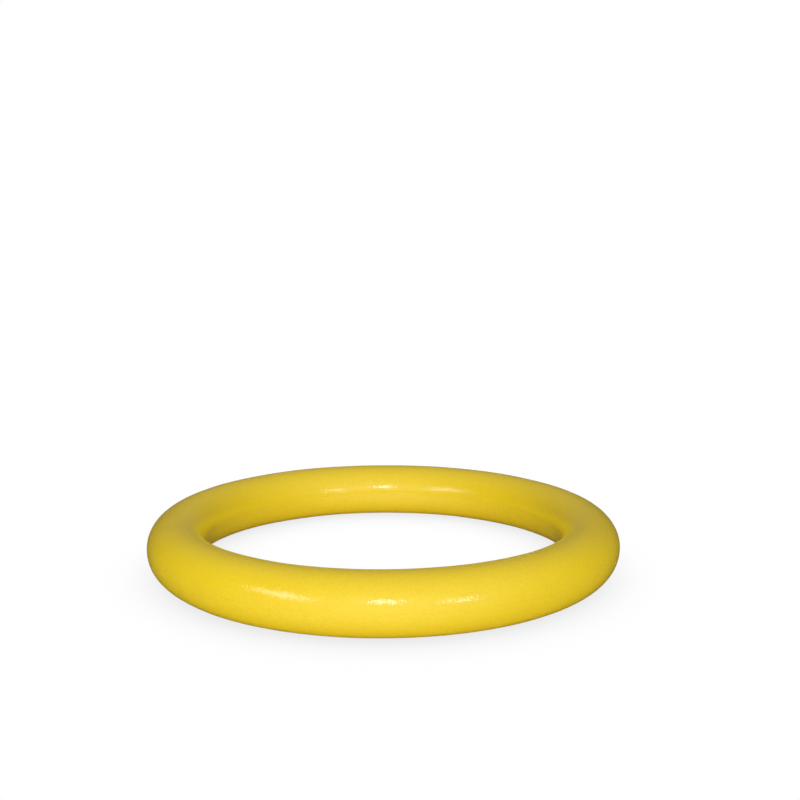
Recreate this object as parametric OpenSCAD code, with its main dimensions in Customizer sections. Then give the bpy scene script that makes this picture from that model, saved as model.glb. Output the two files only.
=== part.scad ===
// Hollow round-section ring for juggling, tossing and hand exercise.
// It lies flat: +Z is the ring's axis, and Z = 0 is the surface that it rests on.
// Two half shells split the tube at its mid-plane. A tongue on the upper shell's two rims
// enters a groove in the lower shell's two rims, over a thin bead of weld in each groove.

/* [Ring] */
// Diameter of the open centre
inner_d = 175; // [165:1:185]
// Diameter of the round tube that the hand holds
tube_d = 28; // [26:1:30]

/* [Shells] */
// Wall thickness of each half shell
wall = 2.5; // [2:0.1:3]
// Thickness of the flat lands inside the wall that carry the tongue and the groove
land = 4; // [3.8:0.1:4.6]

/* [Seam] */
// Width of the tongue
tongue_w = 1.2; // [1:0.1:1.4]
// Height of the tongue
tongue_h = 2; // [1.5:0.1:2.5]
// Clearance on each side of the tongue in its groove
tongue_gap = 0.1; // [0.05:0.05:0.2]
// Thickness of the weld bead under the tongue
bead_h = 0.4; // [0.2:0.1:0.6]
// Depth of the hairline that is left along the dressed seam
seam_line = 0.1; // [0.05:0.05:0.2]

/* [Hidden] */

$fn = 180;
shell_yellow = [0.93, 0.79, 0.13];
weld_yellow = [0.80, 0.66, 0.10];

tube_r = tube_d / 2;
cavity_r = tube_r - wall;
mid_wall_r = tube_r - wall / 2;
ring_r = inner_d / 2 + tube_r;

// The tongue stands in the middle of the land.
land_face = tube_r - land;
tongue_in = land_face + (land - tongue_w) / 2;
groove_in = tongue_in - tongue_gap;
groove_w = tongue_w + 2 * tongue_gap;
groove_h = tongue_h + bead_h;

OUTER = 1;
INNER = -1;

// Revolves a section of the tube about the ring's axis. The section's origin is the tube's centre.
module around_ring() {
    translate([0, 0, tube_r])
        rotate_extrude()
            translate([ring_r, 0])
                children();
}

// Draws a section feature on the tube's outer side, or its mirror image on the inner side.
module on_side(side) {
    scale([side, 1])
        children();
}

// The thickening of the wall behind one flat land
module land_segment() {
    intersection() {
        circle(r = mid_wall_r);
        translate([land_face, -tube_r])
            square([tube_r, tube_d]);
    }
}

// The tube's wall with a land on each side of its mid-plane
module tube_section() {
    difference() {
        circle(r = tube_r);
        circle(r = cavity_r);
    }
    for (side = [OUTER, INNER])
        on_side(side)
            land_segment();
}

// The hairline groove that the two rims leave along the outside of the seam
module seam_notch() {
    translate([tube_r, 0])
        rotate(45)
            square(seam_line * sqrt(2), center = true);
}

// The whole tube in section, before it is split, with the hairline on both sides
module whole_section() {
    difference() {
        tube_section();
        for (side = [OUTER, INNER])
            on_side(side)
                seam_notch();
    }
}

// The line that splits the section at its mid-plane, with a step down on each side.
// A step runs from near to far, measured from the tube's centre, and goes down by depth.
function split_line(near, far, depth) = [
    [-tube_d, 0], [-far, 0], [-far, -depth], [-near, -depth], [-near, 0],
    [near, 0], [near, -depth], [far, -depth], [far, 0], [tube_d, 0],
];

// The part of the section that the upper shell takes: everything above a line with two tongues
module upper_region() {
    polygon(concat(
        split_line(tongue_in, tongue_in + tongue_w, tongue_h),
        [[tube_d, tube_d], [-tube_d, tube_d]]
    ));
}

// The part that the lower shell takes: everything below a line with two deeper, wider grooves
module lower_region() {
    polygon(concat(
        split_line(groove_in, groove_in + groove_w, groove_h),
        [[tube_d, -tube_d], [-tube_d, -tube_d]]
    ));
}

// The weld that fills the groove under the tongue
module bead_section(side) {
    on_side(side)
        translate([groove_in, -groove_h])
            square([groove_w, bead_h]);
}

// Upper half of the tube, with a tongue on both rims
module upper_shell() {
    color(shell_yellow)
        around_ring()
            intersection() {
                whole_section();
                upper_region();
            }
}

// Lower half of the tube, with a groove in both rims
module lower_shell() {
    color(shell_yellow)
        around_ring()
            intersection() {
                whole_section();
                lower_region();
            }
}

// Weld round the outside of the tube, in the outer groove
module outer_weld_bead() {
    color(weld_yellow)
        around_ring()
            bead_section(OUTER);
}

// Weld round the open centre, in the inner groove
module inner_weld_bead() {
    color(weld_yellow)
        around_ring()
            bead_section(INNER);
}

upper_shell();
lower_shell();
outer_weld_bead();
inner_weld_bead();
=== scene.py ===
"""A yellow juggling ring lying flat: two pebble-grained half shells welded at the mid-plane.

The CAD nodes give every size. The shells and the weld beads are built again here as finer meshes,
with the slight waviness of a thin moulding and the dressed seam, and they replace the CAD nodes.
"""

import math

import bpy
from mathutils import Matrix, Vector, noise


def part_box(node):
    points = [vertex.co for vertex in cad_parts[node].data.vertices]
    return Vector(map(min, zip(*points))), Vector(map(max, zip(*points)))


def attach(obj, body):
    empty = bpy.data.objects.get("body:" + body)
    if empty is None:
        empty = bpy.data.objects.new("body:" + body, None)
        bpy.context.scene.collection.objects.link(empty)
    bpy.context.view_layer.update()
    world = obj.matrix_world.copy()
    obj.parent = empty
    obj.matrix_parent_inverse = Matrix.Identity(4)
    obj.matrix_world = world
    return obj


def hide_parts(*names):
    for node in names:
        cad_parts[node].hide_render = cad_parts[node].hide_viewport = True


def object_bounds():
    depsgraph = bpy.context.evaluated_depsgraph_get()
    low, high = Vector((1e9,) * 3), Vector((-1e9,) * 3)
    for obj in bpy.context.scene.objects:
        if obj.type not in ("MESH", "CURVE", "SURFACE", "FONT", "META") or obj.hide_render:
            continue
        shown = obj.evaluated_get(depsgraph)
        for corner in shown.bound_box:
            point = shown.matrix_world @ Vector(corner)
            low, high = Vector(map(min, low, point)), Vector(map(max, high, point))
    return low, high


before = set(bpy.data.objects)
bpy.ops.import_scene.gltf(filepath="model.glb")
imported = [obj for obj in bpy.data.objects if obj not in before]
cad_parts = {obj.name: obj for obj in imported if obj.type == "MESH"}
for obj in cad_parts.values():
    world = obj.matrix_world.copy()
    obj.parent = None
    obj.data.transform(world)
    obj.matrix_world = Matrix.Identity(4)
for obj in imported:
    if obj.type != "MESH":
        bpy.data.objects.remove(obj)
cad_low, cad_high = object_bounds()

# ---- Sizes from the frame, in metres ----
BODY = "root"
TUBE_R = (cad_high.z - cad_low.z) / 2
RING_R = (cad_high.x - cad_low.x) / 2 - TUBE_R
FLOOR_Z = cad_low.z
SEAM_Z = cad_low.z + TUBE_R
RING_CENTRE = Vector((0.0, 0.0, SEAM_Z))

# Distances from the tube's centre: the grooves, the tongues and the beads lie in one line.
bead_low, bead_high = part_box("outer_weld_bead")
GROOVE_FAR = bead_high.x - RING_R
GROOVE_DEPTH = SEAM_Z - bead_low.z
BEAD_H = bead_high.z - bead_low.z
TONGUE_DEPTH = GROOVE_DEPTH - BEAD_H

# ---- Sizes that the frame's boxes don't give, in metres ----
WALL = 0.0025
LAND = 0.004
TONGUE_GAP = 0.0001
HAIRLINE = 0.00006
CAVITY_R = TUBE_R - WALL
LAND_FACE = TUBE_R - LAND
GROOVE_NEAR = TUBE_R + LAND_FACE - GROOVE_FAR

# ---- Mesh steps ----
RING_STEPS = 480
OUTSIDE_STEPS = 97
CAVITY_STEPS = 41
BEAD_STEPS = 20

# ---- Unevenness of the moulding, in metres ----
WAVE_DEPTH = 0.00016
LONG_WAVE = 0.031
SHORT_WAVE = 0.014
SINK_DEPTH = 0.00005
SINK_WIDTH = 0.0045
BEAD_WAVE = 0.00006
BEAD_WAVE_LENGTH = 0.004

# ---- Plastic, with lengths in metres ----
YELLOW = (0.86, 0.617, 0.0175)
PLASTIC_IOR = 1.47
NOISE_RANGE = (0.3, 0.7)

# The skin's relief: pebbles with soft wrinkles over them, stronger and weaker in patches, and
# weaker where the seam was dressed.
PEBBLE_PITCH = 0.0012
PEBBLE_BLENDING = 0.25
PEBBLE_FLANK = (0.15, 0.75)
PEBBLE_HEIGHT = 0.000024
WRINKLE_SIZE = 0.0009
WRINKLE_HEIGHT = 0.00006
PATCH_SIZE = 0.006
PATCH_RELIEF = (0.7, 1.3)
DRESSED_HALF_WIDTH = 0.0008
DRESSED_RELIEF = 0.55

# The skin's colour and gloss: faintly mottled, painted shade between the pebbles, duller specks.
MOTTLE_SIZE = 0.011
MOTTLE_SHADES = (0.98, 1.02)
VALLEY_PAINTED_SHADE = 0.93
VALLEY_PAINTED_SHADE_SHARE = 0.5
SPECK_SIZE = 0.001
SPECK_RANGE = (0.42, 0.7)
SKIN_ROUGHNESS = (0.15, 0.27)

# The welds' ripples, colour and gloss.
RIPPLE_SIZE = 0.0009
RIPPLE_HEIGHT = 0.00004
WELD_SHADE_SIZE = 0.003
WELD_SHADES = (0.78, 0.9)
WELD_GLOSS_SIZE = 0.0015
WELD_ROUGHNESS = (0.1, 0.2)


# ---- Meshes ----
def arc(radius, start, end, steps):
    """Points (across, up) round the tube's centre, from one angle to another."""
    turn = (end - start) / (steps - 1)
    angles = [start + turn * step for step in range(steps)]
    return [(radius * math.cos(a), radius * math.sin(a)) for a in angles]


def half_outline(side, near, far, depth):
    """Outline of one half of the tube's wall, counter-clockwise: side is 1 above and -1 below.

    Each rim goes down by depth between near and far: a tongue above, a groove below.
    """
    lip = math.asin(HAIRLINE / TUBE_R)
    corner = math.acos(LAND_FACE / CAVITY_R)
    rim = [
        (TUBE_R - HAIRLINE, 0.0),
        (far, 0.0),
        (far, -depth),
        (near, -depth),
        (near, 0.0),
        (LAND_FACE, 0.0),
    ]
    outside = arc(TUBE_R, lip, math.pi - lip, OUTSIDE_STEPS)
    cavity = arc(CAVITY_R, math.pi - corner, corner, CAVITY_STEPS)
    outline = [(across, side * up) for across, up in outside]
    outline += [(-across, up) for across, up in rim]
    outline += [(across, side * up) for across, up in cavity]
    outline += rim[::-1]
    return outline[::side]


def bead_outline(side):
    """Outline of the bead on the tube's outer (1) or inner (-1) side: a box with soft corners."""
    half_w = (GROOVE_FAR - GROOVE_NEAR) / 2
    half_h = BEAD_H / 2
    middle = side * (GROOVE_NEAR + half_w)
    points = []
    for step in range(BEAD_STEPS):
        turn = 2 * math.pi * step / BEAD_STEPS
        across = math.copysign(abs(math.cos(turn)) ** 0.5, math.cos(turn))
        up = math.copysign(abs(math.sin(turn)) ** 0.5, math.sin(turn))
        points.append((middle + half_w * across, half_h * up - GROOVE_DEPTH + half_h))
    return points


def revolve(name, outline, uneven):
    """Sweeps a closed outline round the ring. uneven(across, up, place) gives each point's move."""
    verts = []
    for step in range(RING_STEPS):
        angle = 2 * math.pi * step / RING_STEPS
        for across, up in outline:
            out = RING_R + across
            place = Vector((out * math.cos(angle), out * math.sin(angle), up))
            push_across, push_up = uneven(across, up, place)
            out += push_across
            verts.append((out * math.cos(angle), out * math.sin(angle), SEAM_Z + up + push_up))
    count = len(outline)
    faces = []
    for step in range(RING_STEPS):
        here = step * count
        there = (step + 1) % RING_STEPS * count
        for index in range(count):
            after = (index + 1) % count
            faces.append((here + index, there + index, there + after, here + after))
    mesh = bpy.data.meshes.new(name)
    mesh.from_pydata(verts, [], faces)
    mesh.shade_smooth()
    mesh.set_sharp_from_angle(angle=math.radians(35))
    piece = bpy.data.objects.new(name, mesh)
    bpy.context.scene.collection.objects.link(piece)
    return piece


def shell_unevenness(across, up, place):
    """The outside's shrinkage towards the tube's centre: long waves, and a sink along the seam."""
    reach = math.hypot(across, up)
    if reach < TUBE_R - 2 * HAIRLINE:
        return 0.0, 0.0
    wave = noise.noise(place / LONG_WAVE) + 0.5 * noise.noise(place / SHORT_WAVE)
    shrink = WAVE_DEPTH * (0.5 - 0.5 * max(-1.0, min(1.0, 1.4 * wave)))
    shrink += SINK_DEPTH * math.exp(-((up / SINK_WIDTH) ** 2))
    return -shrink * across / reach, -shrink * up / reach


def bead_unevenness(across, up, place):
    """The weld's melted top: it rises and falls a little along the bead, and only downwards."""
    height = (up + GROOVE_DEPTH) / BEAD_H
    wave = 0.5 + 0.5 * noise.noise(place / BEAD_WAVE_LENGTH)
    return 0.0, -BEAD_WAVE * wave * height


def put_in_place(piece, node, material):
    """Makes a piece stand for a CAD node, on the ring's one body."""
    piece.data.materials.append(material)
    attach(piece, BODY)
    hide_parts(node)


# ---- Materials ----
def feed(tree, socket, value):
    """Links an output to a socket, or sets the socket's value."""
    if isinstance(value, bpy.types.NodeSocket):
        tree.links.new(value, socket)
    else:
        socket.default_value = value


def math_node(tree, operation, first, second):
    """One arithmetic step on numbers or outputs."""
    node = tree.nodes.new("ShaderNodeMath")
    node.operation = operation
    feed(tree, node.inputs[0], first)
    feed(tree, node.inputs[1], second)
    return node.outputs["Value"]


class Nodes:
    """Short calls for building a material's node tree."""

    def __init__(self, material):
        material.use_nodes = True
        self.tree = material.node_tree
        self.shader = self.tree.nodes["Principled BSDF"]
        coords = self.tree.nodes.new("ShaderNodeTexCoord")
        self.place = coords.outputs["Object"]

    def feed(self, socket, value):
        """Links an output to a socket, or sets the socket's value."""
        feed(self.tree, socket, value)

    def noise(self, size, detail=2.0):
        """Soft noise from 0 to 1, with features about size across."""
        node = self.tree.nodes.new("ShaderNodeTexNoise")
        self.feed(node.inputs["Vector"], self.place)
        node.inputs["Scale"].default_value = 1 / size
        node.inputs["Detail"].default_value = detail
        return node.outputs["Fac"]

    def cells(self, size, smoothness):
        """Distance to the nearest of many scattered points, about size apart."""
        node = self.tree.nodes.new("ShaderNodeTexVoronoi")
        node.feature = "SMOOTH_F1"
        self.feed(node.inputs["Vector"], self.place)
        node.inputs["Scale"].default_value = 1 / size
        node.inputs["Smoothness"].default_value = smoothness
        return node.outputs["Distance"]

    def math(self, operation, first, second=0.0):
        """One arithmetic step on numbers or outputs."""
        return math_node(self.tree, operation, first, second)

    def spread(self, value, low, high, to_low, to_high, curve="LINEAR"):
        """Maps low..high to to_low..to_high, and holds the ends."""
        node = self.tree.nodes.new("ShaderNodeMapRange")
        node.interpolation_type = curve
        for name, number in zip(
            ("Value", "From Min", "From Max", "To Min", "To Max"),
            (value, low, high, to_low, to_high),
        ):
            self.feed(node.inputs[name], number)
        return node.outputs["Result"]

    def blend(self, share, first, second):
        """Mixes two colours by a share from 0 to 1."""
        node = self.tree.nodes.new("ShaderNodeMix")
        node.data_type = "RGBA"
        self.feed(node.inputs["Factor"], share)
        self.feed(node.inputs[6], first)
        self.feed(node.inputs[7], second)
        return node.outputs[2]

    def bump(self, height, distance):
        """Turns a height from 0 to 1 into a normal, where 1 stands distance proud."""
        node = self.tree.nodes.new("ShaderNodeBump")
        node.inputs["Distance"].default_value = distance
        self.feed(node.inputs["Height"], height)
        return node.outputs["Normal"]

    def seam_band(self, width):
        """1 along the seam, falling to 0 at width above and below it."""
        split = self.tree.nodes.new("ShaderNodeSeparateXYZ")
        self.feed(split.inputs["Vector"], self.place)
        away = self.math("ABSOLUTE", self.math("SUBTRACT", split.outputs["Z"], SEAM_Z))
        return self.spread(away, 0.3 * width, width, 1.0, 0.0)


def shade(colour, factor):
    """The same colour, lighter or darker, with an alpha of 1."""
    return tuple(channel * factor for channel in colour) + (1.0,)


def pebbled_plastic():
    """Glossy yellow plastic with a fine moulded pebble grain, dressed smoother along the seam."""
    material = bpy.data.materials.new("pebbled_plastic")
    nodes = Nodes(material)
    cells = nodes.cells(PEBBLE_PITCH, PEBBLE_BLENDING)
    pebbles = nodes.spread(cells, *PEBBLE_FLANK, 1.0, 0.0, "SMOOTHSTEP")
    wrinkles = nodes.noise(WRINKLE_SIZE, 0.5)
    patches = nodes.spread(nodes.noise(PATCH_SIZE), *NOISE_RANGE, *PATCH_RELIEF)
    dressed = nodes.seam_band(DRESSED_HALF_WIDTH)
    kept = nodes.spread(dressed, 0.0, 1.0, 1.0, DRESSED_RELIEF)
    wrinkle_share = WRINKLE_HEIGHT / PEBBLE_HEIGHT
    grain = nodes.math("ADD", pebbles, nodes.math("MULTIPLY", wrinkles, wrinkle_share))
    height = nodes.math("MULTIPLY", grain, nodes.math("MULTIPLY", patches, kept))
    nodes.feed(nodes.shader.inputs["Normal"], nodes.bump(height, PEBBLE_HEIGHT))

    darker, lighter = (shade(YELLOW, factor) for factor in MOTTLE_SHADES)
    mottle = nodes.blend(nodes.noise(MOTTLE_SIZE, 3.0), darker, lighter)
    # Painted shade: the colour darkens in the hollows between the pebbles.
    painted_valley_shade = nodes.spread(pebbles, 0.0, 0.5, VALLEY_PAINTED_SHADE_SHARE, 0.0)
    colour = nodes.blend(painted_valley_shade, mottle, shade(YELLOW, VALLEY_PAINTED_SHADE))
    nodes.feed(nodes.shader.inputs["Base Color"], colour)
    roughness = nodes.spread(nodes.noise(SPECK_SIZE, 1.0), *SPECK_RANGE, *SKIN_ROUGHNESS)
    nodes.feed(nodes.shader.inputs["Roughness"], roughness)
    nodes.shader.inputs["IOR"].default_value = PLASTIC_IOR
    return material


def weld_plastic():
    """The same plastic, melted and set: darker, smoother and faintly rippled."""
    material = bpy.data.materials.new("weld_plastic")
    nodes = Nodes(material)
    ripple = nodes.noise(RIPPLE_SIZE, 3.0)
    nodes.feed(nodes.shader.inputs["Normal"], nodes.bump(ripple, RIPPLE_HEIGHT))
    darker, lighter = (shade(YELLOW, factor) for factor in WELD_SHADES)
    colour = nodes.blend(nodes.noise(WELD_SHADE_SIZE), darker, lighter)
    nodes.feed(nodes.shader.inputs["Base Color"], colour)
    roughness = nodes.spread(nodes.noise(WELD_GLOSS_SIZE), *NOISE_RANGE, *WELD_ROUGHNESS)
    nodes.feed(nodes.shader.inputs["Roughness"], roughness)
    nodes.shader.inputs["IOR"].default_value = PLASTIC_IOR
    return material


# ---- Ring ----
def build_ring():
    """Both half shells and both weld beads."""
    plastic = pebbled_plastic()
    weld = weld_plastic()
    tongue = (GROOVE_NEAR + TONGUE_GAP, GROOVE_FAR - TONGUE_GAP, TONGUE_DEPTH)
    groove = (GROOVE_NEAR, GROOVE_FAR, GROOVE_DEPTH)
    upper = revolve("upper_shell_moulding", half_outline(1, *tongue), shell_unevenness)
    lower = revolve("lower_shell_moulding", half_outline(-1, *groove), shell_unevenness)
    outer_bead = revolve("outer_weld", bead_outline(1), bead_unevenness)
    inner_bead = revolve("inner_weld", bead_outline(-1), bead_unevenness)
    put_in_place(upper, "upper_shell", plastic)
    put_in_place(lower, "lower_shell", plastic)
    put_in_place(outer_bead, "outer_weld_bead", weld)
    put_in_place(inner_bead, "inner_weld_bead", weld)


# ---- Stage ----
WHITE = (1.0, 1.0, 1.0, 1.0)
BLACK = (0.0, 0.0, 0.0, 1.0)
FLOOR_HALF = 12.0
FLOOR_COLOUR = (0.96, 0.96, 0.96, 1.0)

# The ring's shadow on the floor: how near the ring it starts, in metres, the share of open sky
# where it ends, and how much light it takes at its darkest.
SHADOW_REACH = 0.035
SHADOW_END = 0.88
SHADOW_DEPTH = 0.2
SHADOW_SAMPLES = 12

CAMERA_LENS = 50.0
CAMERA_SENSOR = 36.0
CAMERA_DISTANCE = 0.558
CAMERA_ELEVATION = 15.7
AIM_RIGHT = 0.008
AIM_ABOVE = 0.0685

# Each soft light in the surroundings: azimuth to the right of the camera's side and height above
# the floor, in degrees, and strength at its middle. front_low stands for the floor's reflection,
# because the floor itself isn't reflected.
SOFT_LIGHTS = {
    "front": (25, 33, 0.695),
    "front_low": (-6, -12, 1.27),
    "top": (0, 90, 0.36),
    "back": (180, 45, 0.15),
}
SOFT_LIGHT_FALLOFF = 2.5
SURROUNDINGS_GLOW = 0.02

# Each lamp: azimuth and height in degrees, distance from the ring in metres, width and length in
# metres, roll in degrees, power in watts. The back fill only brightens the far side of the ring,
# and isn't reflected.
LAMPS = {
    "camera_lamp": (0, 22.5, 2.0, 0.07, 0.07, 0, 6.4),
    "right_lamp": (34, 15, 2.0, 0.32, 0.32, 0, 3.4),
    "left_softbox": (-46, 22, 1.0, 0.2, 0.52, 70, 1.78),
    "back_fill": (180, 4, 2.0, 1.2, 1.2, 0, 36.0),
}
NO_REFLECTION = {"back_fill"}


def around_ring(azimuth, elevation, distance):
    """A place round the ring's centre: azimuth 0 is the camera's side, and 90 is to the right."""
    turn = math.radians(azimuth)
    rise = math.radians(elevation)
    level = distance * math.cos(rise)
    offset = Vector((level * math.sin(turn), -level * math.cos(turn), distance * math.sin(rise)))
    return RING_CENTRE + offset


def add_lamp(name, azimuth, elevation, distance, width, length, roll, power):
    """An oval lamp aimed at the ring's centre, unseen by the camera itself."""
    light = bpy.data.lights.new(name, "AREA")
    light.shape = "ELLIPSE"
    light.size = width
    light.size_y = length
    light.energy = power
    lamp = bpy.data.objects.new(name, light)
    bpy.context.scene.collection.objects.link(lamp)
    place = around_ring(azimuth, elevation, distance)
    lamp.location = place
    aim = (RING_CENTRE - place).to_track_quat("-Z", "Y")
    lamp.rotation_euler = aim.to_euler()
    lamp.rotation_euler.rotate_axis("Z", math.radians(roll))
    lamp.visible_camera = False
    lamp.visible_glossy = name not in NO_REFLECTION


def soft_light(tree, direction, azimuth, elevation, strength):
    """The glow of one soft light in a direction of the surroundings."""
    towards = around_ring(azimuth, elevation, 1.0) - RING_CENTRE
    facing = tree.nodes.new("ShaderNodeVectorMath")
    facing.operation = "DOT_PRODUCT"
    facing.inputs[1].default_value = towards
    tree.links.new(direction, facing.inputs[0])
    lit = math_node(tree, "MAXIMUM", facing.outputs["Value"], 0.0)
    falloff = math_node(tree, "POWER", lit, SOFT_LIGHT_FALLOFF)
    return math_node(tree, "MULTIPLY", falloff, strength)


def add_world():
    """A studio that looks white to the camera and lights the ring with a few soft lights."""
    world = bpy.data.worlds.new("studio")
    bpy.context.scene.world = world
    world.use_nodes = True
    tree = world.node_tree
    direction = tree.nodes.new("ShaderNodeTexCoord").outputs["Generated"]
    glow = SURROUNDINGS_GLOW
    for azimuth, elevation, strength in SOFT_LIGHTS.values():
        light = soft_light(tree, direction, azimuth, elevation, strength)
        glow = math_node(tree, "ADD", light, glow)
    seen = tree.nodes.new("ShaderNodeLightPath").outputs["Is Camera Ray"]
    unseen = math_node(tree, "SUBTRACT", 1.0, seen)
    strength = math_node(tree, "ADD", math_node(tree, "MULTIPLY", glow, unseen), seen)
    tree.links.new(strength, tree.nodes["Background"].inputs["Strength"])
    tree.nodes["Background"].inputs["Color"].default_value = WHITE


def floor_material():
    """A pale matt floor: the camera sees it white, with a faint grey shadow close to the ring."""
    material = bpy.data.materials.new("studio_floor")
    nodes = Nodes(material)
    shader = nodes.shader
    seen = nodes.tree.nodes.new("ShaderNodeLightPath").outputs["Is Camera Ray"]
    unseen = nodes.math("SUBTRACT", 1.0, seen)
    crowding = nodes.tree.nodes.new("ShaderNodeAmbientOcclusion")
    crowding.inputs["Distance"].default_value = SHADOW_REACH
    crowding.samples = SHADOW_SAMPLES
    open_sky = nodes.spread(crowding.outputs["AO"], 0.0, SHADOW_END, 1.0 - SHADOW_DEPTH, 1.0)
    nodes.feed(shader.inputs["Base Color"], nodes.blend(unseen, BLACK, FLOOR_COLOUR))
    nodes.feed(shader.inputs["Emission Color"], WHITE)
    nodes.feed(shader.inputs["Emission Strength"], nodes.math("MULTIPLY", open_sky, seen))
    shader.inputs["Roughness"].default_value = 1.0
    shader.inputs["Specular IOR Level"].default_value = 0.0
    return material


def add_floor():
    """A large flat floor under the ring, which isn't reflected in it."""
    corners = [(-1, -1), (1, -1), (1, 1), (-1, 1)]
    verts = [(FLOOR_HALF * x, FLOOR_HALF * y, FLOOR_Z) for x, y in corners]
    mesh = bpy.data.meshes.new("studio_floor")
    mesh.from_pydata(verts, [], [(0, 1, 2, 3)])
    mesh.materials.append(floor_material())
    floor = bpy.data.objects.new("studio_floor", mesh)
    bpy.context.scene.collection.objects.link(floor)
    floor.visible_glossy = False


def add_camera():
    """A camera in front of the ring and a little above it, aimed over it and to its right."""
    data = bpy.data.cameras.new("camera")
    data.lens = CAMERA_LENS
    data.sensor_width = CAMERA_SENSOR
    data.clip_start = 0.01
    data.clip_end = 40.0
    camera = bpy.data.objects.new("camera", data)
    bpy.context.scene.collection.objects.link(camera)
    camera.location = around_ring(0, CAMERA_ELEVATION, CAMERA_DISTANCE)
    aim = RING_CENTRE + Vector((AIM_RIGHT, 0.0, AIM_ABOVE))
    camera.rotation_euler = (aim - camera.location).to_track_quat("-Z", "Y").to_euler()
    bpy.context.scene.camera = camera


build_ring()
add_world()
add_floor()
add_camera()
for lamp_name, lamp_settings in LAMPS.items():
    add_lamp(lamp_name, *lamp_settings)
bpy.context.scene.view_settings.view_transform = "Standard"
